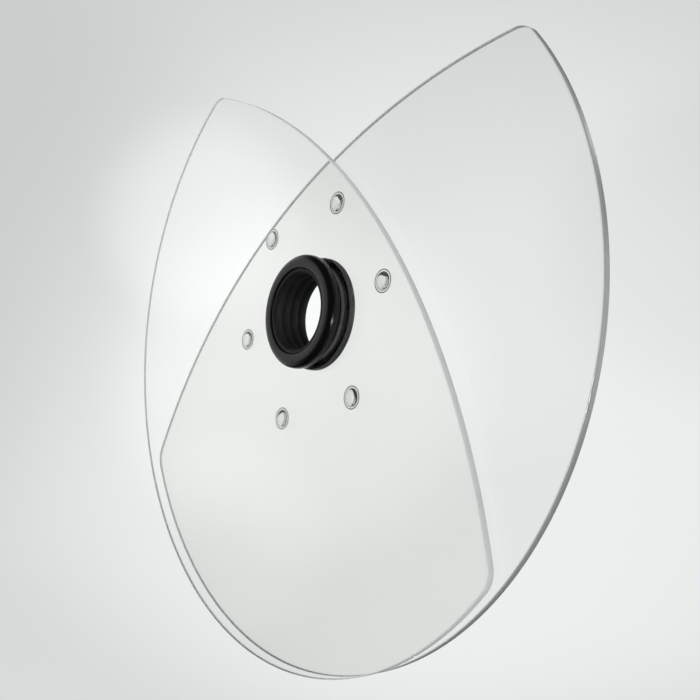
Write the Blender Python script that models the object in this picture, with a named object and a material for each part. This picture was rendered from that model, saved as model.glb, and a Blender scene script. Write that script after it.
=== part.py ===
"""Clear two-leaf acoustic baffle on a clamping collar, in metres with +Z up.

The leaves stand in the XZ plane, and the collar's bore runs along Y. The baffle's front looks
along -Y. The origin is on the bore's axis, midway between the two leaves. Sizes are millimetres
times MM. Every profile below is a list of (radius, y) points about the Y axis.
"""
import math

import bmesh
import bpy

MM = 0.001

# Clearances
SEAT_GAP = 0.3 * MM
RUNNING_GAP = 0.3 * MM

# Leaves: a wide outer arc about the collar, closed by a shallow bow on the other side
LEAF_THICKNESS = 3.0 * MM
LEAF_OUTER_RADIUS = 140.0 * MM
LEAF_BOW_RADIUS = 278.0 * MM
LEAF_TIP_RADIUS = 10.0 * MM
LEAF_EDGE_CHAMFER = 0.4 * MM
FRONT_LEAF_OFFSET = 4.5 * MM
REAR_LEAF_OFFSET = 1.5 * MM
FRONT_LEAF_ANGLE = math.radians(-135.3)
REAR_LEAF_ANGLE = math.radians(-54.0)
OUTER_ARC_STEPS = 64
BOW_STEPS = 24
TIP_STEPS = 5

# Collar: a grip liner inside a flanged sleeve with a thread behind the leaves
GRIP_BORE_RADIUS = 15.6 * MM
LINER_WALL = 1.8 * MM
LINER_RIB_DEPTH = 0.6 * MM
LINER_RIB_CREST = 1.2 * MM
LINER_RIB_COUNT = 4
LINER_RECESS = 0.5 * MM
SLEEVE_WALL = 1.3 * MM
SLEEVE_CHAMFER = 0.5 * MM
THREAD_DEPTH = 0.6 * MM
THREAD_PITCH = 1.5 * MM
THREAD_SPARE = 0.9 * MM
FLANGE_REACH = 3.7 * MM
FLANGE_THICKNESS = 4.1 * MM
FLANGE_EDGE_RADIUS = 2.5 * MM
FLANGE_BACK_RADIUS = 0.4 * MM
FLANGE_EDGE_STEPS = 5

# Soft ring in front of the leaves, slip washer and lock ring behind them
GASKET_THICKNESS = 0.6 * MM
GASKET_INSET = 0.5 * MM
WASHER_THICKNESS = 0.4 * MM
WASHER_INSET = 0.6 * MM
RING_PLATE_THICKNESS = 1.9 * MM
RING_EDGE_RADIUS = 0.5 * MM
RING_GRIP_INSET = 2.3 * MM
RING_GRIP_HEIGHT = 1.3 * MM
RING_GRIP_NOTCHES = 12
RING_GRIP_NOTCH_DEPTH = 0.8 * MM
RING_STEPS_PER_NOTCH = 5

# Spacer pads: clear buttons with a thin rim and a low dome, stuck to the front leaf's rear face
PAD_COUNT = 6
PAD_PHASE = math.radians(13.3)
PAD_COLLAR_MARGIN = 22.6 * MM
PAD_BOW_MARGIN = 6.1 * MM
PAD_RIM_RADIUS = 4.6 * MM
PAD_RIM_THICKNESS = 0.25 * MM
PAD_DOME_INSET = 0.9 * MM
PAD_DOME_HEIGHT = 0.35 * MM
PAD_DOME_STEPS = 4

# Segments round a turned piece
COLLAR_SEGMENTS = 48
PAD_SEGMENTS = 24

# Radii that follow from the sizes above
LINER_RADIUS = GRIP_BORE_RADIUS + LINER_WALL
SLEEVE_BORE_RADIUS = LINER_RADIUS + SEAT_GAP
THREAD_ROOT_RADIUS = SLEEVE_BORE_RADIUS + SLEEVE_WALL
SLEEVE_RADIUS = THREAD_ROOT_RADIUS + THREAD_DEPTH
LEAF_BORE_RADIUS = SLEEVE_RADIUS + RUNNING_GAP
FLANGE_RADIUS = SLEEVE_RADIUS + FLANGE_REACH
RING_GRIP_RADIUS = FLANGE_RADIUS - RING_GRIP_INSET
PAD_CIRCLE_RADIUS = FLANGE_RADIUS + PAD_COLLAR_MARGIN
LEAF_BOW_REACH = PAD_CIRCLE_RADIUS + PAD_BOW_MARGIN

# Places along the bore's axis, from the front to the rear
LEAF_GAP = PAD_RIM_THICKNESS + PAD_DOME_HEIGHT + 2 * SEAT_GAP
FRONT_LEAF_Y = -(LEAF_GAP + LEAF_THICKNESS) / 2
REAR_LEAF_Y = -FRONT_LEAF_Y
PAD_SEAT_Y = -LEAF_GAP / 2 + SEAT_GAP
STACK_FRONT_Y = FRONT_LEAF_Y - LEAF_THICKNESS / 2
STACK_REAR_Y = REAR_LEAF_Y + LEAF_THICKNESS / 2
GASKET_FRONT_Y = STACK_FRONT_Y - SEAT_GAP - GASKET_THICKNESS
FLANGE_BACK_Y = GASKET_FRONT_Y - SEAT_GAP
FLANGE_FRONT_Y = FLANGE_BACK_Y - FLANGE_THICKNESS
WASHER_FRONT_Y = STACK_REAR_Y + SEAT_GAP
RING_FRONT_Y = WASHER_FRONT_Y + WASHER_THICKNESS + SEAT_GAP
RING_PLATE_BACK_Y = RING_FRONT_Y + RING_PLATE_THICKNESS
RING_BACK_Y = RING_PLATE_BACK_Y + RING_GRIP_HEIGHT
SLEEVE_BACK_Y = RING_BACK_Y + THREAD_SPARE
LINER_FRONT_Y = FLANGE_FRONT_Y + LINER_RECESS
LINER_BACK_Y = SLEEVE_BACK_Y - LINER_RECESS


def clear_scene():
    """Remove every object, so that the script gives the same model each run."""
    for item in list(bpy.data.objects):
        bpy.data.objects.remove(item, do_unlink=True)


def make_finish(name, colour, roughness, clear=False, ior=1.5):
    """Return a Principled material; a clear one lets light through."""
    finish = bpy.data.materials.new(name)
    finish.use_nodes = True
    shader = finish.node_tree.nodes["Principled BSDF"]
    shader.inputs["Base Color"].default_value = (*colour, 1.0)
    shader.inputs["Roughness"].default_value = roughness
    shader.inputs["Metallic"].default_value = 0.0
    shader.inputs["IOR"].default_value = ior
    shader.inputs["Transmission Weight"].default_value = 1.0 if clear else 0.0
    return finish


def make_pivot(name):
    """Return an empty at the origin, which lies on the bore's axis."""
    pivot = bpy.data.objects.new(name, None)
    bpy.context.collection.objects.link(pivot)
    return pivot


def finish_object(name, mesh_builder, finish, parent, location=(0.0, 0.0, 0.0), smooth_angle=35.0):
    """Turn a bmesh into a named, shaded object under its parent."""
    bmesh.ops.recalc_face_normals(mesh_builder, faces=mesh_builder.faces)
    mesh = bpy.data.meshes.new(name)
    mesh_builder.to_mesh(mesh)
    mesh_builder.free()
    mesh.shade_smooth()
    mesh.set_sharp_from_angle(angle=math.radians(smooth_angle))
    mesh.materials.append(finish)
    item = bpy.data.objects.new(name, mesh)
    item.location = location
    item.parent = parent
    bpy.context.collection.objects.link(item)
    return item


def turned_body(profile, segments):
    """Spin a profile of (radius, y) points once round the Y axis.

    A profile that starts and ends on the axis gives a solid, and any other is closed into a ring.
    """
    builder = bmesh.new()
    points = [builder.verts.new((radius, y, 0.0)) for radius, y in profile]
    pairs = list(zip(points, points[1:]))
    if profile[0][0] > 0.0:
        pairs.append((points[-1], points[0]))
    edges = [builder.edges.new(pair) for pair in pairs]
    bmesh.ops.spin(builder, geom=points + edges, cent=(0.0, 0.0, 0.0), axis=(0.0, 1.0, 0.0),
                   angle=2.0 * math.pi, steps=segments, use_merge=True)
    bmesh.ops.remove_doubles(builder, verts=builder.verts, dist=0.001 * MM)
    return builder


def arc_points(centre_radius, centre_y, radius, start, end, steps):
    """Return (radius, y) points on an arc, with angles measured from +radius towards +y."""
    angles = [start + (end - start) * step / steps for step in range(steps + 1)]
    return [(centre_radius + radius * math.cos(angle), centre_y + radius * math.sin(angle))
            for angle in angles]


def leaf_outline(offset, inset):
    """Return the outline of a leaf that points along +U, drawn in by inset, as (u, v) points.

    The outer arc is centred at offset from the bore. The bow faces the other way, and a round
    tip joins the two at each end.
    """
    outer_radius = LEAF_OUTER_RADIUS - inset
    bow_radius = LEAF_BOW_RADIUS - inset
    tip_radius = LEAF_TIP_RADIUS - inset
    bow_centre = LEAF_BOW_RADIUS - LEAF_BOW_REACH
    centre_distance = bow_centre - offset
    outer_leg = outer_radius - tip_radius
    bow_leg = bow_radius - tip_radius
    along = (outer_leg ** 2 - bow_leg ** 2 + centre_distance ** 2) / (2.0 * centre_distance)
    across = math.sqrt(outer_leg ** 2 - along ** 2)
    tip_centre = offset + along
    outer_end = math.atan2(across, along)
    bow_end = math.atan2(across, tip_centre - bow_centre)

    def sweep(centre, side, radius, start, end, steps):
        """Return points from start up to, and without, end."""
        angles = [start + (end - start) * step / steps for step in range(steps)]
        return [(centre + radius * math.cos(angle), side + radius * math.sin(angle))
                for angle in angles]

    outline = sweep(offset, 0.0, outer_radius, -outer_end, outer_end, OUTER_ARC_STEPS)
    outline += sweep(tip_centre, across, tip_radius, outer_end, bow_end, TIP_STEPS)
    outline += sweep(bow_centre, 0.0, bow_radius, bow_end, 2.0 * math.pi - bow_end, BOW_STEPS)
    outline += sweep(tip_centre, -across, tip_radius, -bow_end, -outer_end, TIP_STEPS)
    return outline


def turn_points(points, angle):
    """Turn (u, v) points about the bore into (x, z) points."""
    cosine, sine = math.cos(angle), math.sin(angle)
    return [(u * cosine - v * sine, u * sine + v * cosine) for u, v in points]


def circle_points(radius, segments):
    """Return the (x, z) points of a circle about the bore's axis."""
    angles = [2.0 * math.pi * step / segments for step in range(segments)]
    return [(radius * math.cos(angle), radius * math.sin(angle)) for angle in angles]


def pad_places():
    """Return the (x, z) centres of the spacer pads on their circle."""
    angles = [PAD_PHASE + 2.0 * math.pi * index / PAD_COUNT for index in range(PAD_COUNT)]
    return [(PAD_CIRCLE_RADIUS * math.cos(angle), PAD_CIRCLE_RADIUS * math.sin(angle))
            for angle in angles]


def add_loops(builder, levels):
    """Join the loops of one boundary, given front to rear as (points, y), and return the outer two."""
    rings = [[builder.verts.new((x, y, z)) for x, z in points] for points, y in levels]
    for near, far in zip(rings, rings[1:]):
        for index in range(len(near)):
            following = (index + 1) % len(near)
            builder.faces.new((near[index], near[following], far[following], far[index]))
    return rings[0], rings[-1]


def loop_edges(builder, ring):
    """Return the edges that run round a ring of vertices."""
    return [builder.edges.get((ring[index - 1], ring[index])) for index in range(len(ring))]


def build_leaf(name, offset, angle, centre_y, finish, parent):
    """Build one flat leaf with its bore and chamfered edges."""
    front_y = centre_y - LEAF_THICKNESS / 2
    rear_y = centre_y + LEAF_THICKNESS / 2
    full = turn_points(leaf_outline(offset, 0.0), angle)
    inset = turn_points(leaf_outline(offset, LEAF_EDGE_CHAMFER), angle)
    builder = bmesh.new()
    boundaries = [add_loops(builder, [(inset, front_y), (full, front_y + LEAF_EDGE_CHAMFER),
                                      (full, rear_y - LEAF_EDGE_CHAMFER), (inset, rear_y)])]
    bore = circle_points(LEAF_BORE_RADIUS, COLLAR_SEGMENTS)
    boundaries.append(add_loops(builder, [(bore, front_y), (bore, rear_y)]))
    for side in (0, 1):
        edges = [edge for pair in boundaries for edge in loop_edges(builder, pair[side])]
        bmesh.ops.triangle_fill(builder, use_beauty=True, edges=edges)
    return finish_object(name, builder, finish, parent)


def build_collar_sleeve(finish, parent):
    """Build the flanged sleeve: a rounded front flange, a plain neck and a thread at the rear."""
    edge_centre = (FLANGE_RADIUS - FLANGE_EDGE_RADIUS, FLANGE_FRONT_Y + FLANGE_EDGE_RADIUS)
    profile = [(SLEEVE_BORE_RADIUS, FLANGE_FRONT_Y + SLEEVE_CHAMFER),
               (SLEEVE_BORE_RADIUS + SLEEVE_CHAMFER, FLANGE_FRONT_Y)]
    profile += arc_points(*edge_centre, FLANGE_EDGE_RADIUS, -math.pi / 2, 0.0, FLANGE_EDGE_STEPS)
    profile += [(FLANGE_RADIUS, FLANGE_BACK_Y - FLANGE_BACK_RADIUS),
                (FLANGE_RADIUS - FLANGE_BACK_RADIUS, FLANGE_BACK_Y),
                (SLEEVE_RADIUS, FLANGE_BACK_Y)]
    turns = math.floor((SLEEVE_BACK_Y - SLEEVE_CHAMFER - WASHER_FRONT_Y) / THREAD_PITCH)
    thread_front_y = SLEEVE_BACK_Y - SLEEVE_CHAMFER - turns * THREAD_PITCH
    profile.append((SLEEVE_RADIUS, thread_front_y - THREAD_PITCH / 2))
    for turn in range(turns):
        root_y = thread_front_y + turn * THREAD_PITCH
        profile += [(THREAD_ROOT_RADIUS, root_y), (SLEEVE_RADIUS, root_y + THREAD_PITCH / 2)]
    profile += [(THREAD_ROOT_RADIUS, SLEEVE_BACK_Y - SLEEVE_CHAMFER),
                (THREAD_ROOT_RADIUS - SLEEVE_CHAMFER, SLEEVE_BACK_Y),
                (SLEEVE_BORE_RADIUS, SLEEVE_BACK_Y)]
    return finish_object("collar_sleeve", turned_body(profile, COLLAR_SEGMENTS), finish, parent)


def build_grip_liner(finish, parent):
    """Build the soft liner, whose round inner ribs grip the handle."""
    root_radius = GRIP_BORE_RADIUS + LINER_RIB_DEPTH
    pitch = (LINER_BACK_Y - LINER_FRONT_Y) / LINER_RIB_COUNT
    crest = min(LINER_RIB_CREST, pitch / 2)
    profile = [(LINER_RADIUS, LINER_BACK_Y), (LINER_RADIUS, LINER_FRONT_Y)]
    for rib in range(LINER_RIB_COUNT):
        start_y = LINER_FRONT_Y + rib * pitch
        profile += [(root_radius, start_y), (GRIP_BORE_RADIUS, start_y + (pitch - crest) / 2),
                    (GRIP_BORE_RADIUS, start_y + (pitch + crest) / 2)]
    profile.append((root_radius, LINER_BACK_Y))
    return finish_object("grip_liner", turned_body(profile, COLLAR_SEGMENTS), finish, parent)


def build_flat_ring(name, outer_radius, front_y, thickness, finish, parent):
    """Build a flat ring that fits round the sleeve."""
    inner_radius = SLEEVE_RADIUS + RUNNING_GAP
    profile = [(inner_radius, 0.0), (outer_radius, 0.0),
               (outer_radius, thickness), (inner_radius, thickness)]
    return finish_object(name, turned_body(profile, COLLAR_SEGMENTS), finish, parent,
                         location=(0.0, front_y, 0.0))


def build_lock_ring(finish, parent):
    """Build the rear ring nut: a thin plate with a notched finger grip behind it."""
    inner_radius = SLEEVE_RADIUS + RUNNING_GAP
    edge_centre = FLANGE_RADIUS - RING_EDGE_RADIUS
    profile = [(inner_radius, 0.0), (edge_centre, 0.0), (FLANGE_RADIUS, RING_EDGE_RADIUS),
               (FLANGE_RADIUS, RING_PLATE_THICKNESS - RING_EDGE_RADIUS),
               (edge_centre, RING_PLATE_THICKNESS), (RING_GRIP_RADIUS, RING_PLATE_THICKNESS),
               (RING_GRIP_RADIUS, RING_PLATE_THICKNESS + RING_GRIP_HEIGHT),
               (inner_radius, RING_PLATE_THICKNESS + RING_GRIP_HEIGHT)]
    segments = RING_GRIP_NOTCHES * RING_STEPS_PER_NOTCH
    builder = turned_body(profile, segments)
    for vert in builder.verts:
        radius = math.hypot(vert.co.x, vert.co.z)
        step = round(math.atan2(vert.co.z, vert.co.x) * segments / (2.0 * math.pi))
        on_grip = abs(radius - RING_GRIP_RADIUS) < SEAT_GAP / 10
        if on_grip and step % RING_STEPS_PER_NOTCH in (0, 1):
            shrink = (RING_GRIP_RADIUS - RING_GRIP_NOTCH_DEPTH) / RING_GRIP_RADIUS
            vert.co.x *= shrink
            vert.co.z *= shrink
    return finish_object("lock_ring", builder, finish, parent, location=(0.0, RING_FRONT_Y, 0.0))


def build_spacer_pads(finish, parent):
    """Build the spacer pads, whose domes face the rear leaf."""
    dome_radius = PAD_RIM_RADIUS - PAD_DOME_INSET
    profile = [(0.0, 0.0), (PAD_RIM_RADIUS, 0.0), (PAD_RIM_RADIUS, PAD_RIM_THICKNESS)]
    for step in range(PAD_DOME_STEPS):
        angle = math.pi / 2 * step / PAD_DOME_STEPS
        height = PAD_RIM_THICKNESS + PAD_DOME_HEIGHT * math.sin(angle)
        profile.append((dome_radius * math.cos(angle), height))
    profile.append((0.0, PAD_RIM_THICKNESS + PAD_DOME_HEIGHT))
    for index, (x, z) in enumerate(pad_places(), start=1):
        finish_object(f"spacer_pad_{index}", turned_body(profile, PAD_SEGMENTS), finish,
                      parent, location=(x, PAD_SEAT_Y, z))


def build_baffle():
    """Build every piece of the baffle."""
    clear_scene()
    clear_sheet = make_finish("clear_acrylic_sheet", (0.93, 0.96, 0.95), 0.03, clear=True, ior=1.49)
    clear_pad = make_finish("clear_polyurethane", (0.95, 0.97, 0.97), 0.05, clear=True, ior=1.5)
    black_nylon = make_finish("black_moulded_nylon", (0.012, 0.011, 0.013), 0.32)
    black_rubber = make_finish("black_rubber", (0.015, 0.015, 0.016), 0.7)

    collar = make_pivot("collar_axis")
    front_axis = make_pivot("front_leaf_axis")
    rear_axis = make_pivot("rear_leaf_axis")
    clamp = make_pivot("clamp_axis")
    build_collar_sleeve(black_nylon, collar)
    build_grip_liner(black_rubber, collar)
    build_flat_ring("front_gasket", FLANGE_RADIUS - GASKET_INSET, GASKET_FRONT_Y,
                    GASKET_THICKNESS, black_rubber, collar)
    build_leaf("leaf_front", FRONT_LEAF_OFFSET, FRONT_LEAF_ANGLE, FRONT_LEAF_Y, clear_sheet,
               front_axis)
    build_leaf("leaf_rear", REAR_LEAF_OFFSET, REAR_LEAF_ANGLE, REAR_LEAF_Y, clear_sheet,
               rear_axis)
    build_spacer_pads(clear_pad, front_axis)
    build_flat_ring("slip_washer", FLANGE_RADIUS - WASHER_INSET, WASHER_FRONT_Y,
                    WASHER_THICKNESS, black_nylon, clamp)
    build_lock_ring(black_nylon, clamp)


build_baffle()
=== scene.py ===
"""Looks of a clear two-leaf acoustic baffle on a black clamping collar.

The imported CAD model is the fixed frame, in metres with +Z up. The leaves stand in the XZ plane,
the collar's bore runs along Y, and the front of the baffle looks along -Y. Each solid that is
replaced here keeps its place, and its finer piece rides on the same body.
"""

import logging
import math
from collections.abc import Callable
from dataclasses import dataclass
from enum import Enum

import bmesh
import bpy
from mathutils import Matrix, Vector


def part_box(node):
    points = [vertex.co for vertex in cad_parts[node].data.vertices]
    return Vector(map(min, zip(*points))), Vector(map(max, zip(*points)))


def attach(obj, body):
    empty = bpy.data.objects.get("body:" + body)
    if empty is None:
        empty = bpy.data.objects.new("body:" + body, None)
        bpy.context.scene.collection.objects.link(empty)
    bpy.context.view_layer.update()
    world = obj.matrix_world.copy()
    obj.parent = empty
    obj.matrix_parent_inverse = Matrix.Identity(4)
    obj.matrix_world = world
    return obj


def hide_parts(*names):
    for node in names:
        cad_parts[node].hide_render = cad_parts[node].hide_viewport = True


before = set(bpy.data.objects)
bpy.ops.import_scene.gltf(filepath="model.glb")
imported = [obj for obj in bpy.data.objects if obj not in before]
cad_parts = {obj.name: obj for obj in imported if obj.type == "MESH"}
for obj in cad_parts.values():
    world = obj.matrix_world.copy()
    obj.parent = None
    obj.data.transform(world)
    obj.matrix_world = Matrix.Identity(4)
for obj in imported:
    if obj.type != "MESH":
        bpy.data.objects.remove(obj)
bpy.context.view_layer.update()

MM = 0.001
# Two places closer than this count as one.
TINY = 0.01 * MM
QUARTER = math.pi / 2
FULL = 2.0 * math.pi
LOG = logging.getLogger("baffle")
# The turn in degrees and the width in millimetres of the air gap under each spacer pad
PAD_GAPS = ((75.0, 1.6), (50.0, 1.7), (20.0, 0.9), (60.0, 1.2), (110.0, 1.1), (35.0, 1.7))

Place = tuple[float, float]
Radius = Callable[[float, float, float], float]


class Body(Enum):
    """Bodies of the frame that a piece can ride on."""

    COLLAR = "collar"
    FRONT_LEAF = "front_leaf"
    REAR_LEAF = "rear_leaf"
    WASHER = "washer"
    RING = "ring"


class Slot(Enum):
    """Names of material slots."""

    SHEET = "clear_acrylic"
    PAD = "clear_pad"
    NYLON = "black_nylon"
    RUBBER = "black_rubber"


# Colours and nodes

def linear_colour(sheet: str) -> tuple[float, float, float, float]:
    """Turn an sRGB hex value into a linear colour.

    Args:
        sheet: The colour as #RRGGBB.

    Returns:
        Red, green, blue and alpha for a shader's socket.
    """
    parts = [int(sheet[start:start + 2], 16) / 255.0 for start in (1, 3, 5)]
    linear = [part / 12.92 if part <= 0.04045 else ((part + 0.055) / 1.055) ** 2.4
              for part in parts]
    return (linear[0], linear[1], linear[2], 1.0)


def add_node(tree: bpy.types.NodeTree, kind: str, sockets: dict | None = None,
             **settings: object) -> bpy.types.Node:
    """Add one node with its settings and links.

    Args:
        tree: The node tree that it goes into.
        kind: Blender's name for the kind of node.
        sockets: Inputs by name or number. A socket is linked, and any other value is set.
        settings: The node's own settings.

    Returns:
        The new node.
    """
    node = tree.nodes.new(kind)
    for name, value in settings.items():
        setattr(node, name, value)
    for key, value in (sockets or {}).items():
        if isinstance(value, bpy.types.NodeSocket):
            tree.links.new(value, node.inputs[key])
        else:
            node.inputs[key].default_value = value
    return node


# Finishes

@dataclass(frozen=True)
class Finish:
    """What every finish has: the real material's name, its colour and its gloss."""

    name: str
    base: str
    roughness: float
    ior: float

    def material(self) -> bpy.types.Material:
        """Make the finish's material.

        Returns:
            A new material with this finish's own surface pattern.
        """
        made = bpy.data.materials.new(self.name)
        made.use_nodes = True
        tree = made.node_tree
        shader = tree.nodes["Principled BSDF"]
        shader.inputs["Base Color"].default_value = linear_colour(self.base)
        shader.inputs["Roughness"].default_value = self.roughness
        shader.inputs["IOR"].default_value = self.ior
        place = add_node(tree, "ShaderNodeTexCoord").outputs["Object"]
        self.pattern(tree, shader, place)
        return made

    def pattern(self, tree: bpy.types.NodeTree, shader: bpy.types.Node,
                place: bpy.types.NodeSocket) -> None:
        """Add the surface's own pattern to the shader; a plain finish has none.

        Args:
            tree: The material's node tree.
            shader: The shader that the pattern goes into.
            place: Where the pattern is read, in metres.
        """

    @staticmethod
    def grain(tree: bpy.types.NodeTree, place: bpy.types.NodeSocket, size: float,
              detail: float = 3.0) -> bpy.types.NodeSocket:
        """Add a noise whose marks are about size across.

        Args:
            tree: The node tree.
            place: Where the pattern is read, in metres.
            size: The real width of one mark, in metres.
            detail: How many finer layers the noise has.

        Returns:
            The noise's value, from 0 to 1.
        """
        noise = add_node(tree, "ShaderNodeTexNoise",
                         {"Vector": place, "Scale": 1.0 / size, "Detail": detail})
        return noise.outputs["Fac"]

    @staticmethod
    def spread(tree: bpy.types.NodeTree, value: bpy.types.NodeSocket, low: float, high: float,
               to_low: float, to_high: float) -> bpy.types.NodeSocket:
        """Map a value from one range onto another.

        Args:
            tree: The node tree.
            value: The value to map.
            low: Where the first range starts.
            high: Where the first range ends.
            to_low: What low becomes.
            to_high: What high becomes.

        Returns:
            The mapped value, held between its two ends.
        """
        mapped = add_node(tree, "ShaderNodeMapRange",
                          {"Value": value, "From Min": low, "From Max": high,
                           "To Min": to_low, "To Max": to_high})
        return mapped.outputs["Result"]

    @staticmethod
    def specks(tree: bpy.types.NodeTree, place: bpy.types.NodeSocket, apart: float,
               size: float, share: float) -> bpy.types.NodeSocket:
        """Scatter dust specks.

        Args:
            tree: The node tree.
            place: Where the pattern is read, in metres.
            apart: The mean distance between two possible specks.
            size: How wide a speck is.
            share: The share of the possible specks that is there.

        Returns:
            A mask that is 1 on a speck.
        """
        cells = add_node(tree, "ShaderNodeTexVoronoi", {"Vector": place, "Scale": 1.0 / apart})
        reach = size / apart / 2.0
        near = add_node(tree, "ShaderNodeMapRange",
                        {"Value": cells.outputs["Distance"], "From Min": reach * 0.6,
                         "From Max": reach, "To Min": 1.0, "To Max": 0.0})
        tone = add_node(tree, "ShaderNodeSeparateColor", {"Color": cells.outputs["Color"]})
        chosen = add_node(tree, "ShaderNodeMath", {0: tone.outputs["Red"], 1: share},
                          operation="LESS_THAN")
        mask = add_node(tree, "ShaderNodeMath",
                        {0: near.outputs["Result"], 1: chosen.outputs["Value"]},
                        operation="MULTIPLY")
        return mask.outputs["Value"]

    def tint(self, tree: bpy.types.NodeTree, shader: bpy.types.Node, share: bpy.types.NodeSocket,
             other: str) -> bpy.types.NodeSocket:
        """Mix the finish's colour with another one.

        Args:
            tree: The node tree.
            shader: The shader that takes the mixed colour.
            share: How much of the other colour there is.
            other: The other colour as #RRGGBB.

        Returns:
            The mixed colour.
        """
        tone = add_node(tree, "ShaderNodeMix",
                        {0: share, 6: linear_colour(self.base), 7: linear_colour(other)},
                        data_type="RGBA")
        tree.links.new(tone.outputs[2], shader.inputs["Base Color"])
        return tone.outputs[2]

    @staticmethod
    def relief(tree: bpy.types.NodeTree, shader: bpy.types.Node,
               heights: list[tuple[bpy.types.NodeSocket, float]]) -> None:
        """Raise the surface by several patterns, one over the other.

        Args:
            tree: The node tree.
            shader: The shader whose surface is raised.
            heights: Each pattern with its real height in metres.
        """
        normal = None
        for height, depth in heights:
            sockets = {"Height": height, "Distance": depth, "Strength": 1.0}
            if normal is not None:
                sockets["Normal"] = normal
            normal = add_node(tree, "ShaderNodeBump", sockets).outputs["Normal"]
        tree.links.new(normal, shader.inputs["Normal"])


@dataclass(frozen=True)
class CastAcrylicSheet(Finish):
    """Cast acrylic (PMMA), as cast between glass plates: water-clear and mirror-smooth.

    The eye sees it by its reflections, by wiping marks that dull them a little, and by dust.
    """

    smudge_size: float = 34.0 * MM
    smudge_roughness: float = 0.035
    wave_size: float = 60.0 * MM
    wave_height: float = 0.012 * MM
    dust_apart: float = 26.0 * MM
    dust_size: float = 0.7 * MM
    dust_share: float = 0.45
    dust_clearness: float = 0.35
    hairline_width: float = 0.5 * MM
    hairline_length: float = 40.0 * MM
    hairline_height: float = 0.002 * MM
    hairline_angle: float = math.radians(37.0)

    def pattern(self, tree: bpy.types.NodeTree, shader: bpy.types.Node,
                place: bpy.types.NodeSocket) -> None:
        """Add wiping marks, hairlines, the slow waves of cast sheet, and dust.

        Args:
            tree: The material's node tree.
            shader: The shader that the pattern goes into.
            place: Where the pattern is read, in metres.
        """
        smudge = self.grain(tree, place, self.smudge_size, detail=4.0)
        roughness = self.spread(tree, smudge, 0.45, 0.75, self.roughness, self.smudge_roughness)
        tree.links.new(roughness, shader.inputs["Roughness"])
        # Real hairlines are about 0.05 mm wide; they are drawn wider so that they show.
        brushed = add_node(tree, "ShaderNodeMapping",
                           {"Vector": place, "Rotation": (0.0, self.hairline_angle, 0.0),
                            "Scale": (1.0 / self.hairline_length, 0.0, 1.0 / self.hairline_width)})
        hairline = add_node(tree, "ShaderNodeTexNoise",
                            {"Vector": brushed.outputs["Vector"], "Scale": 1.0, "Detail": 1.0})
        line = self.spread(tree, hairline.outputs["Fac"], 0.68, 0.74, 0.0, 1.0)
        wave = self.grain(tree, place, self.wave_size, detail=1.0)
        self.relief(tree, shader, [(wave, self.wave_height), (line, self.hairline_height)])
        dust = self.specks(tree, place, self.dust_apart, self.dust_size, self.dust_share)
        clear = self.spread(tree, dust, 0.0, 1.0, 1.0, self.dust_clearness)
        tree.links.new(clear, shader.inputs["Transmission Weight"])


@dataclass(frozen=True)
class LaserCutAcrylicEdge(Finish):
    """Acrylic cut by laser: frosted by fine ridges straight through the sheet.

    The ridges scatter the light that the sheet carries to its edge, so the edge shows as a pale
    band. Its colour turns greyer towards the edge's rear, in patches; in the rear leaf's darker
    copy this grey is painted shade. transmission is the share of light that passes the cut, and
    frost the share that scatters in it.
    """

    # The colour the edge turns to at its rear; in the rear leaf's darker copy it is painted shade.
    rear_tone: str
    front_y: float
    rear_y: float
    transmission: float = 0.35
    frost: float = 0.1
    ridge_width: float = 0.45 * MM
    ridge_height: float = 0.010 * MM
    patch_size: float = 38.0 * MM
    patch_stretch: float = 0.04

    def pattern(self, tree: bpy.types.NodeTree, shader: bpy.types.Node,
                place: bpy.types.NodeSocket) -> None:
        """Add the greying towards the rear, the cutting ridges and the slow change of gloss along
        the cut.

        Args:
            tree: The material's node tree.
            shader: The shader that the pattern goes into.
            place: Where the pattern is read, in metres.
        """
        shader.inputs["Transmission Weight"].default_value = self.transmission
        through = add_node(tree, "ShaderNodeMapping",
                           {"Vector": place, "Scale": (1.0, self.patch_stretch, 1.0)})
        ridge = self.grain(tree, through.outputs["Vector"], self.ridge_width, detail=2.0)
        patch = self.grain(tree, through.outputs["Vector"], self.patch_size, detail=3.0)
        roughness = self.spread(tree, patch, 0.35, 0.7, self.roughness * 0.7, self.roughness * 1.3)
        tree.links.new(roughness, shader.inputs["Roughness"])
        # Greyer towards the rear of the cut, in patches; in the rear leaf's darker copy this grey is
        # painted shade.
        split = add_node(tree, "ShaderNodeSeparateXYZ", {"Vector": place})
        towards_rear = self.spread(tree, split.outputs["Y"], self.front_y, self.rear_y, 0.0, 1.0)
        unevenness = self.spread(tree, patch, 0.42, 0.68, 0.75, 1.1)
        amount = add_node(tree, "ShaderNodeMath", {0: towards_rear, 1: unevenness}, operation="MULTIPLY",
                          use_clamp=True)
        tone = self.tint(tree, shader, amount.outputs["Value"], self.rear_tone)
        self.relief(tree, shader, [(ridge, self.ridge_height)])
        inside = add_node(tree, "ShaderNodeBsdfTranslucent", {"Color": tone})
        mixed = add_node(tree, "ShaderNodeMixShader",
                         {0: self.frost, 1: shader.outputs["BSDF"], 2: inside.outputs["BSDF"]})
        tree.links.new(mixed.outputs["Shader"], tree.nodes["Material Output"].inputs["Surface"])


@dataclass(frozen=True)
class CastClearPolyurethane(Finish):
    """Clear polyurethane, cast as a soft button: glossy, bending what lies behind it."""

    coat: float = 0.5
    ripple_size: float = 1.8 * MM
    ripple_height: float = 0.010 * MM

    def pattern(self, tree: bpy.types.NodeTree, shader: bpy.types.Node,
                place: bpy.types.NodeSocket) -> None:
        """Add the faint ripple of a surface that set without a mould.

        Args:
            tree: The material's node tree.
            shader: The shader that the pattern goes into.
            place: Where the pattern is read, in metres.
        """
        shader.inputs["Transmission Weight"].default_value = 1.0
        shader.inputs["Coat Weight"].default_value = self.coat
        ripple = self.grain(tree, place, self.ripple_size, detail=1.0)
        self.relief(tree, shader, [(ripple, self.ripple_height)])


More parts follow.
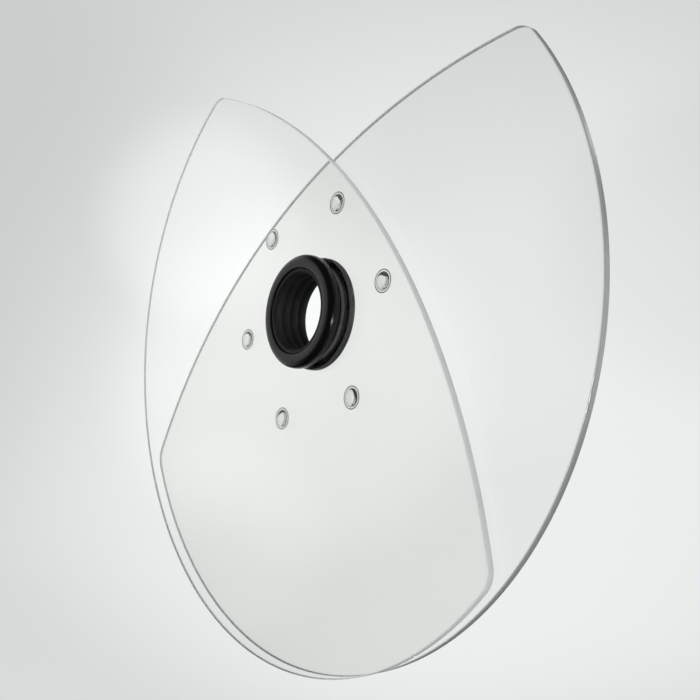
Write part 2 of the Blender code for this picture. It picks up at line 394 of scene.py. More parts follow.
@dataclass(frozen=True)
class MouldedBlackNylon(Finish):
    """Black nylon, injection-moulded in a fine spark-eroded mould: satin black.

    The fine grain breaks highlights up, the outer rims are rubbed glossier, and dust shows as
    pale specks.
    """

    dust: str
    rim_radius: float
    rim_width: float = 0.8 * MM
    rim_polish: float = 0.10
    gloss: float = 0.25
    grain_size: float = 0.16 * MM
    grain_height: float = 0.006 * MM
    flow_size: float = 7.0 * MM
    flow_height: float = 0.02 * MM
    dust_apart: float = 2.6 * MM
    dust_size: float = 0.28 * MM
    dust_share: float = 0.3

    def pattern(self, tree: bpy.types.NodeTree, shader: bpy.types.Node,
                place: bpy.types.NodeSocket) -> None:
        """Add the mould's grain, flow marks, rubbed rims and dust.

        Args:
            tree: The material's node tree.
            shader: The shader that the pattern goes into.
            place: Where the pattern is read, in metres.
        """
        shader.inputs["Specular IOR Level"].default_value = self.gloss
        flow = self.grain(tree, place, self.flow_size, detail=4.0)
        grain = self.grain(tree, place, self.grain_size, detail=2.0)
        rough = self.spread(tree, flow, 0.3, 0.7, self.roughness * 0.8, self.roughness * 1.25)
        across = add_node(tree, "ShaderNodeVectorMath",
                          {0: place, 1: (1.0, 0.0, 1.0)}, operation="MULTIPLY")
        radius = add_node(tree, "ShaderNodeVectorMath", {0: across.outputs["Vector"]},
                          operation="LENGTH").outputs["Value"]
        rim = self.rim_radius - 0.1 * MM
        band = self.spread(tree, radius, rim - self.rim_width, rim, 0.0, self.rim_polish)
        broken = self.spread(tree, flow, 0.42, 0.62, 0.15, 1.0)
        polished = add_node(tree, "ShaderNodeMath", {0: band, 1: broken}, operation="MULTIPLY")
        gloss = add_node(tree, "ShaderNodeMath", {0: rough, 1: polished.outputs["Value"]},
                         operation="SUBTRACT")
        tree.links.new(gloss.outputs["Value"], shader.inputs["Roughness"])
        specks = self.specks(tree, place, self.dust_apart, self.dust_size, self.dust_share)
        self.tint(tree, shader, specks, self.dust)
        self.relief(tree, shader, [(grain, self.grain_height), (flow, self.flow_height)])


@dataclass(frozen=True)
class MouldedBlackRubber(Finish):
    """Black thermoplastic rubber, moulded: dull black that takes finger marks."""

    dusty: str
    grain_size: float = 0.3 * MM
    grain_height: float = 0.012 * MM
    bloom_size: float = 5.0 * MM

    def pattern(self, tree: bpy.types.NodeTree, shader: bpy.types.Node,
                place: bpy.types.NodeSocket) -> None:
        """Add the fine grain and the duller, dusty patches.

        Args:
            tree: The material's node tree.
            shader: The shader that the pattern goes into.
            place: Where the pattern is read, in metres.
        """
        grain = self.grain(tree, place, self.grain_size, detail=3.0)
        bloom = self.grain(tree, place, self.bloom_size, detail=4.0)
        self.tint(tree, shader, self.spread(tree, bloom, 0.45, 0.75, 0.0, 0.5), self.dusty)
        self.relief(tree, shader, [(grain, self.grain_height)])


@dataclass(frozen=True)
class PaintedPadShade(Finish):
    """Painted shade on a clear pad's rim and air gap: grey to black, and broken by clear gaps."""

    blot_size: float = 0.5 * MM
    blot_height: float = 0.02 * MM
    cover: float = 0.7

    def pattern(self, tree: bpy.types.NodeTree, shader: bpy.types.Node,
                place: bpy.types.NodeSocket) -> None:
        """Add blots of painted shade, with clear gaps between them.

        Args:
            tree: The material's node tree.
            shader: The shader that the pattern goes into.
            place: Where the pattern is read, in metres.
        """
        blot = self.grain(tree, place, self.blot_size, detail=3.0)
        clear = self.spread(tree, blot, 0.5, 0.7, 1.0 - self.cover, 0.8)
        tree.links.new(clear, shader.inputs["Transmission Weight"])
        self.relief(tree, shader, [(blot, self.blot_height)])


@dataclass(frozen=True)
class Glow:
    """A soft bright or dark area of the studio, as seen from the object.

    azimuth and elevation are degrees, azimuth from +X towards +Y. reach is how many degrees it
    takes to fade out, and gain is how much it adds at its middle.
    """

    azimuth: float
    elevation: float
    reach: float
    gain: float

    def add_to(self, tree: bpy.types.NodeTree, place: bpy.types.NodeSocket,
               total: bpy.types.NodeSocket | float) -> bpy.types.NodeSocket:
        """Add this area to the strength so far.

        Args:
            tree: The node tree.
            place: The place in the studio, in metres from the object's middle.
            total: The strength so far.

        Returns:
            The strength with this area.
        """
        turn = math.radians(self.azimuth)
        lift = math.radians(self.elevation)
        towards = (math.cos(lift) * math.cos(turn), math.cos(lift) * math.sin(turn), math.sin(lift))
        unit = add_node(tree, "ShaderNodeVectorMath", {0: place}, operation="NORMALIZE")
        near = add_node(tree, "ShaderNodeVectorMath", {0: unit.outputs["Vector"], 1: towards},
                        operation="DOT_PRODUCT")
        faded = add_node(tree, "ShaderNodeMapRange",
                         {"Value": near.outputs["Value"],
                          "From Min": math.cos(math.radians(self.reach)), "From Max": 1.0,
                          "To Min": 0.0, "To Max": self.gain},
                         interpolation_type="SMOOTHERSTEP")
        summed = add_node(tree, "ShaderNodeMath", {0: faded.outputs["Result"], 1: total},
                          operation="ADD")
        return summed.outputs["Value"]


@dataclass(frozen=True)
class StudioCloth:
    """Pale studio cloth lit from behind, as in a light tent, with soft brighter areas."""

    name: str
    base: str
    glow: float
    areas: tuple[Glow, ...] = ()
    albedo: str = "#8E8F8E"

    def material(self) -> bpy.types.Material:
        """Make the cloth's material.

        Returns:
            A material that glows softly and also takes light and shade.
        """
        made = bpy.data.materials.new(self.name)
        made.use_nodes = True
        tree = made.node_tree
        shader = tree.nodes["Principled BSDF"]
        shader.inputs["Base Color"].default_value = linear_colour(self.albedo)
        shader.inputs["Roughness"].default_value = 1.0
        shader.inputs["Specular IOR Level"].default_value = 0.0
        shader.inputs["Emission Color"].default_value = linear_colour(self.base)
        shader.inputs["Emission Strength"].default_value = self.glow
        place = add_node(tree, "ShaderNodeTexCoord").outputs["Object"]
        total: bpy.types.NodeSocket | float = self.glow
        for area in self.areas:
            total = area.add_to(tree, place, total)
        if self.areas:
            tree.links.new(total, shader.inputs["Emission Strength"])
        return made


# Meshes

def arc(centre: Place, radius: float, start: float, end: float, steps: int,
        flatten: float = 1.0) -> list[Place]:
    """Return points on an arc of a profile.

    Args:
        centre: The arc's centre, as (radius, y).
        radius: The arc's radius.
        start: The first angle, measured from +radius towards +y.
        end: The last angle.
        steps: How many steps lie between them.
        flatten: How far the arc is squashed along y.

    Returns:
        The points, both ends among them.
    """
    angles = [start + (end - start) * step / steps for step in range(steps + 1)]
    return [(centre[0] + radius * math.cos(angle), centre[1] + flatten * radius * math.sin(angle))
            for angle in angles]


def turned(profile: list[Place], segments: int, centre: Place = (0.0, 0.0),
           shape: Radius | None = None) -> bmesh.types.BMesh:
    """Turn a profile round an axis along Y.

    Args:
        profile: Points as (radius, y). A profile that starts on the axis isn't closed, and any
            other is closed into a ring.
        segments: How many steps go round.
        centre: Where the axis stands, as (x, z).
        shape: Gives the radius from (radius, y, angle), for a body that isn't quite round.

    Returns:
        The mesh, with its normals outwards.
    """
    builder = bmesh.new()
    rings = []
    for radius, y in profile:
        if radius < TINY:
            rings.append([builder.verts.new((centre[0], y, centre[1]))])
            continue
        ring = []
        for step in range(segments):
            angle = FULL * step / segments
            reach = shape(radius, y, angle) if shape else radius
            ring.append(builder.verts.new((centre[0] + reach * math.cos(angle), y,
                                           centre[1] + reach * math.sin(angle))))
        rings.append(ring)
    pairs = list(zip(rings, rings[1:]))
    if len(rings[0]) > 1:
        pairs.append((rings[-1], rings[0]))
    for near, far in pairs:
        for step in range(segments):
            after = (step + 1) % segments
            corners = (near[step % len(near)], near[after % len(near)],
                       far[after % len(far)], far[step % len(far)])
            builder.faces.new(list(dict.fromkeys(corners)))
    bmesh.ops.recalc_face_normals(builder, faces=builder.faces)
    return builder


def add_piece(name: str, builder: bmesh.types.BMesh, finishes: list[bpy.types.Material],
              body: Body, node: str, sharp: float = 40.0) -> bpy.types.Object:
    """Turn a mesh into a piece that stands for a CAD node and rides on its body.

    Args:
        name: The piece's name.
        builder: The mesh, which is used up.
        finishes: One material for each material number of the faces.
        body: The body that it rides on.
        node: The CAD node that it replaces.
        sharp: Edges sharper than this many degrees aren't shaded smooth.

    Returns:
        The new piece.
    """
    mesh = bpy.data.meshes.new(name)
    builder.to_mesh(mesh)
    builder.free()
    mesh.shade_smooth()
    mesh.set_sharp_from_angle(angle=math.radians(sharp))
    for finish in finishes:
        mesh.materials.append(finish)
    piece = bpy.data.objects.new(name, mesh)
    bpy.context.collection.objects.link(piece)
    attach(piece, body.value)
    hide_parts(node)
    return piece


# Sub-assemblies

@dataclass
class ClearLeaf:
    """One clear sheet: a wide outer arc, a shallow bow, round tips and rounded edges.

    offset is how far the outer arc's centre lies from the bore's, and angle turns the leaf round
    the bore. facet_slack keeps these finer arcs inside the CAD's facets.
    """

    name: str
    node: str
    body: Body
    offset: float
    angle: float
    outer_radius: float = 140.0 * MM
    bow_radius: float = 278.0 * MM
    bow_reach: float = 52.0 * MM
    tip_radius: float = 10.0 * MM
    bore_radius: float = 19.9 * MM
    edge_round: float = 0.4 * MM
    facet_slack: float = 0.05 * MM
    bore_round: float = 0.15 * MM
    arc_steps: int = 288
    bow_steps: int = 120
    tip_steps: int = 20
    bore_steps: int = 128
    edge_steps: int = 4

    def outline(self, inset: float) -> list[Place]:
        """Return the leaf's outline, turned into place.

        Args:
            inset: How far the outline is drawn in.

        Returns:
            The outline's points as (x, z).
        """
        inset += self.facet_slack
        outer = self.outer_radius - inset
        bow = self.bow_radius - inset
        tip = self.tip_radius - inset
        bow_centre = self.bow_radius - self.bow_reach
        apart = bow_centre - self.offset
        outer_leg = outer - tip
        bow_leg = bow - tip
        along = (outer_leg ** 2 - bow_leg ** 2 + apart ** 2) / (2.0 * apart)
        across = math.sqrt(outer_leg ** 2 - along ** 2)
        tip_along = self.offset + along
        outer_end = math.atan2(across, along)
        bow_end = math.atan2(across, tip_along - bow_centre)
        sweeps = [((self.offset, 0.0), outer, -outer_end, outer_end, self.arc_steps),
                  ((tip_along, across), tip, outer_end, bow_end, self.tip_steps),
                  ((bow_centre, 0.0), bow, bow_end, FULL - bow_end, self.bow_steps),
                  ((tip_along, -across), tip, -bow_end, -outer_end, self.tip_steps)]
        points = [point for sweep in sweeps for point in arc(*sweep)[:-1]]
        cosine, sine = math.cos(self.angle), math.sin(self.angle)
        return [(u * cosine - v * sine, u * sine + v * cosine) for u, v in points]

    def levels(self, low: float, high: float, rounding: float) -> list[tuple[float, float]]:
        """Return the levels of an edge with rounded borders.

        Args:
            low: The y of the sheet's front face.
            high: The y of its rear face.
            rounding: The radius of both borders.

        Returns:
            How far each level is drawn in, and its y, from front to rear.
        """
        front = [(rounding * (1.0 - math.sin(QUARTER * step / self.edge_steps)),
                  low + rounding * (1.0 - math.cos(QUARTER * step / self.edge_steps)))
                 for step in range(self.edge_steps + 1)]
        rear = [(inset, low + high - y) for inset, y in reversed(front)]
        return front + rear

    def boundary(self, builder: bmesh.types.BMesh, points: Callable[[float], list[Place]],
                 levels: list[tuple[float, float]]) -> list[list[bmesh.types.BMVert]]:
        """Build one cut edge of the sheet.

        Args:
            builder: The mesh that it goes into.
            points: Gives the boundary's (x, z) points for an inset.
            levels: The insets and y places, from front to rear.

        Returns:
            The boundary's first and last ring of vertices.
        """
        rings = [[builder.verts.new((x, y, z)) for x, z in points(inset)] for inset, y in levels]
        for near, far in zip(rings, rings[1:]):
            for step in range(len(near)):
                after = (step + 1) % len(near)
                face = builder.faces.new((near[step], near[after], far[after], far[step]))
                face.material_index = 1
        return [rings[0], rings[-1]]

    def bore(self, inset: float) -> list[Place]:
        """Return the bore's outline.

        Args:
            inset: How much wider the bore is drawn.

        Returns:
            The bore's points as (x, z).
        """
        reach = self.bore_radius + inset
        angles = [FULL * step / self.bore_steps for step in range(self.bore_steps)]
        return [(reach * math.cos(angle), reach * math.sin(angle)) for angle in angles]

    def build(self, face: bpy.types.Material, edge: bpy.types.Material) -> bpy.types.Object:
        """Build the leaf.

        Args:
            face: The finish of its two faces.
            edge: The finish of its cut edges.

        Returns:
            The leaf's piece.
        """
        low, high = (corner.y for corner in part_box(self.node))
        builder = bmesh.new()
        rings = [self.boundary(builder, self.outline, self.levels(low, high, self.edge_round))]
        rings.append(self.boundary(builder, self.bore, self.levels(low, high, self.bore_round)))
        for side in (0, 1):
            edges = [builder.edges.get((pair[side][step - 1], pair[side][step]))
                     for pair in rings for step in range(len(pair[side]))]
            bmesh.ops.triangle_fill(builder, use_beauty=True, edges=edges)
        bmesh.ops.recalc_face_normals(builder, faces=builder.faces)
        flat = [abs(item.normal.y) > 0.9999 for item in builder.faces]
        piece = add_piece(self.name, builder, [face, edge], self.body, self.node)
        for polygon, is_flat in zip(piece.data.polygons, flat):
            polygon.use_smooth = not is_flat
        return piece


@dataclass
class SpacerPad:
    """One clear button that is stuck to the front leaf and keeps the rear leaf off it.

    An air gap under the dome's foot shows as a dark crescent, which is painted near-black as shade.
    gap_turn says where it is widest, and gap_width how wide it gets.
    """

    number: int
    gap_turn: float
    gap_width: float
    rim_radius: float = 4.6 * MM
    rim_width: float = 0.42 * MM
    rim_thickness: float = 0.3 * MM
    rim_round: float = 0.14 * MM
    dome_radius: float = 3.6 * MM
    dome_height: float = 0.8 * MM
    foot_width: float = 0.22 * MM
    seat: float = 0.26 * MM
    dome_steps: int = 14
    segments: int = 64

    def foot_reach(self, radius: float, y: float, angle: float) -> float:
        """Return the radius, drawn in at the dome's foot where the air gap is wide.

        Args:
            radius: The radius of a round dome.
            y: The place along the pad's axis; not used.
            angle: The angle round it.

        Returns:
            The radius beside the gap.
        """
        if abs(radius - (self.dome_radius - self.foot_width)) > TINY:
            return radius
        wide = max(0.0, math.cos(angle - self.gap_turn)) ** 2
        return radius - self.gap_width * wide

    def build(self, dome: bpy.types.Material, rim: bpy.types.Material,
              gap: bpy.types.Material) -> bpy.types.Object:
        """Build the pad, whose dome faces the rear leaf.

        Args:
            dome: The finish of its dome and its back.
            rim: The finish of its outermost rim, painted grey as shade.
            gap: The finish of the air gap at the dome's foot, painted near-black as shade.

        Returns:
            The pad's piece.
        """
        node = f"spacer_pad_{self.number}"
        low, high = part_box(node)
        centre = ((low.x + high.x) / 2.0, (low.z + high.z) / 2.0)
        base = low.y - self.seat
        flank = self.rim_radius - self.rim_round
        top = self.rim_thickness - self.rim_round
        foot = self.dome_radius - self.foot_width
        cap = (foot ** 2 + self.dome_height ** 2) / (2.0 * self.dome_height)
        turn = math.asin(foot / cap) / self.dome_steps
        centre_y = self.rim_thickness + self.dome_height - cap
        local = [(0.0, 0.0)]
        local += arc((flank, self.rim_round), self.rim_round, -QUARTER, 0.0, 4)
        local += arc((flank, top), self.rim_round, 0.0, QUARTER, 4)
        inner = self.rim_radius - self.rim_width
        local += [(inner, self.rim_thickness), (self.dome_radius, self.rim_thickness),
                  (foot, self.rim_thickness)]
        # The dome's lowest step is left out, which gives the air gap its room.
        local += [(cap * math.sin(turn * step), centre_y + cap * math.cos(turn * step))
                  for step in range(self.dome_steps - 2, 0, -1)]
        local.append((0.0, self.rim_thickness + self.dome_height))
        mesh = turned([(radius, base + y) for radius, y in local], self.segments, centre,
                      self.foot_reach)
        # The outermost rim gets the grey painted-shade finish, and the air gap the near-black one.
        for face in mesh.faces:
            places = [math.hypot(vert.co.x - centre[0], vert.co.z - centre[1])
                      for vert in face.verts]
            if min(places) > inner - TINY:
                face.material_index = 1
            elif foot + TINY < max(places) < self.dome_radius + TINY:
                face.material_index = 2
        return add_piece(f"clear_spacer_{self.number}", mesh, [dome, rim, gap],
                         Body.FRONT_LEAF, node)


@dataclass
class ClampCollar:
    """The flanged sleeve with its rear thread, the grip liner inside it, and the gasket."""

    sleeve_bore: float = 17.7 * MM
    root_radius: float = 19.0 * MM
    sleeve_radius: float = 19.6 * MM
    flange_radius: float = 23.3 * MM
    flange_thickness: float = 4.1 * MM
    flange_round: float = 2.5 * MM
    back_round: float = 0.4 * MM
    mouth: float = 0.5 * MM
    thread_pitch: float = 1.5 * MM
    thread_front: float = 4.0 * MM
    thread_rows_per_turn: int = 12
    rear_bevel: float = 0.1 * MM
    liner_radius: float = 17.4 * MM
    liner_root: float = 16.2 * MM
    rib_crest: float = 15.6 * MM
    rib_count: int = 4
    rib_flat: float = 1.2 * MM
    rib_steps: int = 6
    gasket_radius: float = 22.8 * MM
    gasket_bore: float = 19.9 * MM
    segments: int = 144

    def thread_reach(self, radius: float, y: float, angle: float) -> float:
        """Return the sleeve's radius, cut by its right-handed thread behind the leaves.

        Args:
            radius: The radius without the thread.
            y: The place along the bore.
            angle: The angle round it.

        Returns:
            The radius with the thread.
        """
        if y < self.thread_front or radius < self.root_radius:
            return radius
        phase = (y / self.thread_pitch + angle / FULL) % 1.0
        ridge = min(1.0, max(0.0, 2.2 - 4.4 * abs(phase - 0.5)))
        run_out = min(1.0, (y - self.thread_front) / self.thread_pitch)
        groove = (self.sleeve_radius - self.root_radius) * (1.0 - ridge) * run_out
        return max(radius - groove, self.root_radius - 0.02 * MM)

    def build_sleeve(self, finish: bpy.types.Material) -> bpy.types.Object:
        """Build the sleeve.

        Args:
            finish: The sleeve's finish.

        Returns:
            The sleeve's piece.
        """
        low, high = (corner.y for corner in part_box("collar_sleeve"))
        back = low + self.flange_thickness
        edge = (self.flange_radius - self.flange_round, low + self.flange_round)
        profile = arc((self.sleeve_bore + self.mouth, low + self.mouth), self.mouth,
                      -math.pi, -QUARTER, 5)
        profile += arc(edge, self.flange_round, -QUARTER, 0.0, 16)
        profile += arc((self.flange_radius - self.back_round, back - self.back_round),
                       self.back_round, 0.0, QUARTER, 4)
        profile += [(self.sleeve_radius, back), (self.sleeve_radius, self.thread_front)]
        thread_back = high - self.mouth
        rows = round((thread_back - self.thread_front) / self.thread_pitch
                     * self.thread_rows_per_turn)
        step = (thread_back - self.thread_front) / rows
        profile += [(self.sleeve_radius, self.thread_front + step * row)
                    for row in range(1, rows)]
        profile += [(self.root_radius, thread_back), (self.root_radius - self.mouth, high),
                    (self.sleeve_bore + self.rear_bevel, high),
                    (self.sleeve_bore, high - self.rear_bevel)]
        mesh = turned(profile, self.segments, shape=self.thread_reach)
        return add_piece("flanged_sleeve", mesh, [finish], Body.COLLAR,
                         "collar_sleeve")

    def build_liner(self, finish: bpy.types.Material) -> bpy.types.Object:
        """Build the liner with its round ribs.

        Args:
            finish: The liner's finish.

        Returns:
            The liner's piece.
        """
        low, high = (corner.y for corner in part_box("grip_liner"))
        pitch = (high - low) / self.rib_count
        slope = (pitch - self.rib_flat) / 2.0
        profile = [(self.liner_radius, high), (self.liner_radius, low)]
        for rib in range(self.rib_count):
            for step in range(2 * self.rib_steps):
                rise = 0.5 - 0.5 * math.cos(math.pi * step / self.rib_steps)
                flat = self.rib_flat if step >= self.rib_steps else 0.0
                profile.append((self.liner_root + (self.rib_crest - self.liner_root) * rise,
                                low + rib * pitch + slope * step / self.rib_steps + flat))
        profile.append((self.liner_root, high))
        return add_piece("ribbed_liner", turned(profile, self.segments), [finish], Body.COLLAR,
                         "grip_liner")

    def build_gasket(self, finish: bpy.types.Material) -> bpy.types.Object:
        """Build the soft ring in front of the leaves.

        Args:
            finish: The gasket's finish.

        Returns:
            The gasket's piece.
        """
        low, high = (corner.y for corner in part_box("front_gasket"))
        bulge = (high - low) / 2.0
        profile = [(self.gasket_bore, high), (self.gasket_bore, low)]
        profile += arc((self.gasket_radius - bulge, low + bulge), bulge, -QUARTER, QUARTER, 6)
        return add_piece("soft_gasket", turned(profile, self.segments), [finish], Body.COLLAR,
                         "front_gasket")

    def build(self, nylon: bpy.types.Material, rubber: bpy.types.Material) -> list[bpy.types.Object]:
        """Build the three pieces of the collar."""
        return [self.build_sleeve(nylon), self.build_liner(rubber), self.build_gasket(rubber)]


@dataclass
class LockStack:
    """What clamps the leaves from behind: a slip washer and a notched lock ring."""

    bore_radius: float = 19.9 * MM
    washer_radius: float = 22.7 * MM
    washer_round: float = 0.15 * MM
    washer_segments: int = 120
    plate_radius: float = 23.3 * MM
    plate_back: float = 6.5 * MM
    plate_round: float = 0.5 * MM
    mouth: float = 0.2 * MM
    grip_radius: float = 21.0 * MM
    grip_foot: float = 0.05 * MM
    grip_round: float = 0.25 * MM
    notch_count: int = 12
    notch_depth: float = 0.8 * MM
    notch_width: float = math.radians(17.0)
    notch_phase: float = math.radians(3.0)
    steps_per_notch: int = 20

    def notch_reach(self, radius: float, y: float, angle: float) -> float:
        """Return the ring's radius, drawn in at each finger notch of the grip.

        Args:
            radius: The radius without notches.
            y: The place along the bore.
            angle: The angle round it.

        Returns:
            The radius with notches.
        """
        on_grip = y > self.plate_back + TINY
        if not on_grip or radius < self.grip_radius - self.grip_round - TINY:
            return radius
        period = FULL / self.notch_count
        away = abs((angle - self.notch_phase + period / 2.0) % period - period / 2.0)
        if away > self.notch_width / 2.0:
            return radius
        return radius - self.notch_depth * (0.5 + 0.5 * math.cos(FULL * away / self.notch_width))

    def build_washer(self, finish: bpy.types.Material) -> bpy.types.Object:
        """Build the slip washer.

        Args:
            finish: The washer's finish.

        Returns:
            The washer's piece.
        """
        low, high = (corner.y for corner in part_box("slip_washer"))
        rim = self.washer_radius - self.washer_round
        profile = [(self.bore_radius, high), (self.bore_radius, low)]
        profile += arc((rim, low + self.washer_round), self.washer_round, -QUARTER, 0.0, 3)
        profile += arc((rim, high - self.washer_round), self.washer_round, 0.0, QUARTER, 3)
        return add_piece("nylon_washer", turned(profile, self.washer_segments), [finish],
                         Body.WASHER, "slip_washer")

    def build_ring(self, finish: bpy.types.Material) -> bpy.types.Object:
        """Build the lock ring.

        Args:
            finish: The ring's finish.

        Returns:
            The ring's piece.
        """
        low, high = (corner.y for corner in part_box("lock_ring"))
        rim = self.plate_radius - self.plate_round
        back = self.plate_back
        grip = self.grip_radius - self.grip_round
        profile = [(self.bore_radius, high - self.mouth), (self.bore_radius, low + self.mouth),
                   (self.bore_radius + self.mouth, low)]
        profile += arc((rim, low + self.plate_round), self.plate_round, -QUARTER, 0.0, 5)
        profile += arc((rim, back - self.plate_round), self.plate_round, 0.0, QUARTER, 5)
        profile += [(self.grip_radius, back), (self.grip_radius, back + self.grip_foot)]
        profile += arc((grip, high - self.grip_round), self.grip_round, 0.0, QUARTER, 4)
        profile.append((self.bore_radius + self.mouth, high))
        mesh = turned(profile, self.notch_count * self.steps_per_notch, shape=self.notch_reach)
        return add_piece("notched_ring", mesh, [finish], Body.RING, "lock_ring")

    def build(self, nylon: bpy.types.Material) -> list[bpy.types.Object]:
        """Build the washer and the ring."""
        return [self.build_washer(nylon), self.build_ring(nylon)]


# Studio and camera

@dataclass
class Studio:
    """A round pale tent with a floor that curves up into its wall, and soft lights."""

    floor_z: float = -0.31
    floor_radius: float = 0.95
    bend_radius: float = 0.4
    wall_top: float = 1.1
    floor_steps: int = 6
    bend_steps: int = 16
    segments: int = 96
    tent_glow: float = 0.512
    tent_areas: tuple[Glow, ...] = (
        Glow(132.0, -4.0, 42.0, 0.18), Glow(144.0, 0.0, 18.0, 0.12), Glow(180.0, 12.0, 32.0, -0.08),
        Glow(114.0, 12.0, 14.0, -0.06), Glow(153.0, 12.0, 10.0, 0.11), Glow(38.8, 0.0, 60.0, 0.04),
        Glow(275.0, 5.0, 100.0, -0.22), Glow(222.0, 5.0, 52.0, -0.24))
    room_radius: float = 0.3
    room_glow: float = 0.02
    windows: tuple[Glow, ...] = (
        Glow(189.0, 10.0, 46.0, 1.35), Glow(243.0, 6.0, 24.0, 0.48), Glow(207.0, -26.0, 18.0, 0.67),
        Glow(352.0, -15.0, 5.0, 70.0), Glow(47.0, 36.0, 6.0, 9.0), Glow(38.0, 0.0, 24.0, 2.0),
        Glow(141.0, 0.0, 50.0, 0.5), Glow(80.0, 4.0, 14.0, 3.0))

    def add_stage(self, name: str, builder: bmesh.types.BMesh,
                  cloth: StudioCloth) -> bpy.types.Object:
        """Turn a mesh into a part of the studio.

        Args:
            name: The part's name.
            builder: The mesh, which is used up.
            cloth: What it is made of.

        Returns:
            The new part.
        """
        mesh = bpy.data.meshes.new(name)
        builder.to_mesh(mesh)
        builder.free()
        mesh.materials.append(cloth.material())
        part = bpy.data.objects.new(name, mesh)
        bpy.context.collection.objects.link(part)
        return part

    def build_tent(self) -> None:
        """Build the floor and the wall in one piece."""
        profile = [(self.floor_radius * step / self.floor_steps, self.floor_z)
                   for step in range(self.floor_steps)]
        profile += arc((self.floor_radius, self.floor_z + self.bend_radius), self.bend_radius,
                       -QUARTER, 0.0, self.bend_steps)
        profile.append((self.floor_radius + self.bend_radius, self.wall_top))
        builder = turned(profile, self.segments)
        bmesh.ops.rotate(builder, verts=builder.verts, matrix=Matrix.Rotation(QUARTER, 3, "X"))
        cloth = StudioCloth("pale_tent_cloth", "#F5F8F7", self.tent_glow, self.tent_areas)
        self.add_stage("studio_tent", builder, cloth).data.shade_smooth()

    def build_room(self) -> None:
        """Build the dim room that only the glossy surfaces mirror, with its bright windows."""
        builder = bmesh.new()
        bmesh.ops.create_uvsphere(builder, u_segments=48, v_segments=24, radius=self.room_radius)
        room = self.add_stage("mirrored_room", builder, StudioCloth(
            "dim_room", "#FFFFFF", self.room_glow, self.windows, "#000000"))
        room.visible_camera = False
        room.visible_diffuse = False
        room.visible_transmission = False
        room.visible_shadow = False

    def build_light(self, name: str, place: tuple[float, float, float], size: float,
                    power: float, colour: str, spread: float = math.pi) -> None:
        """Build one soft light that looks at the object.

        Args:
            name: The light's name.
            place: Where it hangs.
            size: The side of its square.
            power: Its power in watts.
            colour: Its colour as #RRGGBB.
            spread: How far it fans out, in radians; a softbox with a grid keeps it narrow.
        """
        data = bpy.data.lights.new(name, "AREA")
        data.size = size
        data.energy = power
        data.color = linear_colour(colour)[:3]
        data.spread = spread
        light = bpy.data.objects.new(name, data)
        light.location = place
        light.rotation_euler = (-Vector(place)).to_track_quat("-Z", "Y").to_euler()
        light.visible_camera = False
        light.visible_transmission = False
        light.visible_glossy = False
        bpy.context.collection.objects.link(light)

    def build(self) -> None:
        """Build the tent, the mirrored room, the lights and the air over them."""
        self.build_tent()
        self.build_room()
        self.build_light("overhead_softbox", (-0.25, -0.35, 0.95), 0.8, 5.0, "#FFFDF8")
        self.build_light("side_softbox", (0.9, -0.25, -0.02), 0.5, 0.75, "#FAFAFC",
                         math.radians(70.0))
        world = bpy.data.worlds.new("studio_air")
        world.use_nodes = True
        sky = world.node_tree.nodes["Background"]
        sky.inputs["Color"].default_value = linear_colour("#F2F4F6")
        sky.inputs["Strength"].default_value = 0.7
        bpy.context.scene.world = world


@dataclass
class ViewCamera:
    """The camera at the photograph's viewing angle."""

    place: tuple[float, float, float] = (0.30082, -0.22071, -0.03659)
    right: tuple[float, float, float] = (0.62800, 0.77454, 0.07549)
    up: tuple[float, float, float] = (0.0, -0.09701, 0.99528)
    lens: float = 46.893
    sensor: float = 36.0

    def build(self) -> None:
        """Build the camera and make it the scene's own."""
        data = bpy.data.cameras.new("photo_camera")
        data.lens = self.lens
        data.sensor_width = self.sensor
        camera = bpy.data.objects.new("photo_camera", data)
        right = Vector(self.right).normalized()
        up = Vector(self.up).normalized()
        back = right.cross(up)
        turned_to = Matrix((right, up, back)).transposed().to_4x4()
        camera.matrix_world = Matrix.Translation(self.place) @ turned_to
        bpy.context.collection.objects.link(camera)
        bpy.context.scene.camera = camera


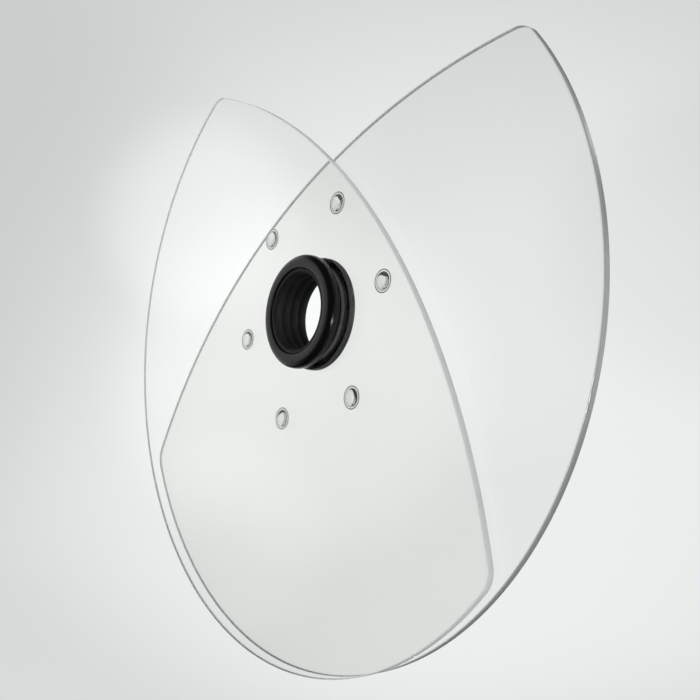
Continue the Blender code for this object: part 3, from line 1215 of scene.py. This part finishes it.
def main() -> None:
    """Build the baffle, the studio and the camera, and report each piece."""
    logging.basicConfig(level=logging.INFO, format="%(message)s")
    bpy.context.scene.view_settings.view_transform = "Standard"
    sheet = CastAcrylicSheet("cast_acrylic_sheet", "#FDFDFC", 0.0, 1.49).material()
    front_edge = LaserCutAcrylicEdge("laser_cut_acrylic", "#F8F9F8", 0.3, 1.49, rear_tone="#E6E8E7",
                                     front_y=-3.6 * MM, rear_y=-0.6 * MM).material()
    # The rear leaf's edge is the same acrylic, painted darker with a darker rear tone: painted shade
    # for the dimmer surroundings that its edge mirrors.
    rear_edge = LaserCutAcrylicEdge("laser_cut_acrylic_painted_shade", "#D6D8D7", 0.3, 1.49,
                                    rear_tone="#ACAEAD", front_y=0.6 * MM, rear_y=3.6 * MM,
                                    transmission=0.6).material()
    clear = CastClearPolyurethane("cast_clear_polyurethane", "#FAFCFB", 0.02, 1.5).material()
    nylon = MouldedBlackNylon("moulded_black_nylon", "#0B0A0C", 0.24, 1.53, dust="#8D8A88",
                              rim_radius=23.3 * MM).material()
    rubber = MouldedBlackRubber("moulded_black_rubber", "#121213", 0.72, 1.5,
                                dusty="#2B2A2B").material()
    # The pads' grey rim line and near-black air gap are painted shade for the dark lines that
    # refraction draws in the clear buttons.
    rim_shade = PaintedPadShade("pad_rim_painted_shade", "#6E7070", 0.5, 1.48, cover=0.7).material()
    gap_shade = PaintedPadShade("air_gap_painted_shade", "#0B0B0C", 0.4, 1.48, cover=1.0).material()
    front = ClearLeaf("front_clear_leaf", "leaf_front", Body.FRONT_LEAF, offset=4.5 * MM,
                      angle=math.radians(-135.3))
    rear = ClearLeaf("rear_clear_leaf", "leaf_rear", Body.REAR_LEAF, offset=1.5 * MM,
                     angle=math.radians(-54.0))
    pieces = [front.build(sheet, front_edge), rear.build(sheet, rear_edge)]
    pads = [SpacerPad(number, math.radians(turn), width * MM)
            for number, (turn, width) in enumerate(PAD_GAPS, start=1)]
    pieces += [pad.build(clear, rim_shade, gap_shade) for pad in pads]
    pieces += ClampCollar().build(nylon, rubber)
    pieces += LockStack().build(nylon)
    for piece in pieces:
        LOG.info("%s: %d faces, %s", piece.name, len(piece.data.polygons),
                 piece.data.materials[0].name)
    Studio().build()
    ViewCamera().build()


if __name__ == "__main__":
    main()
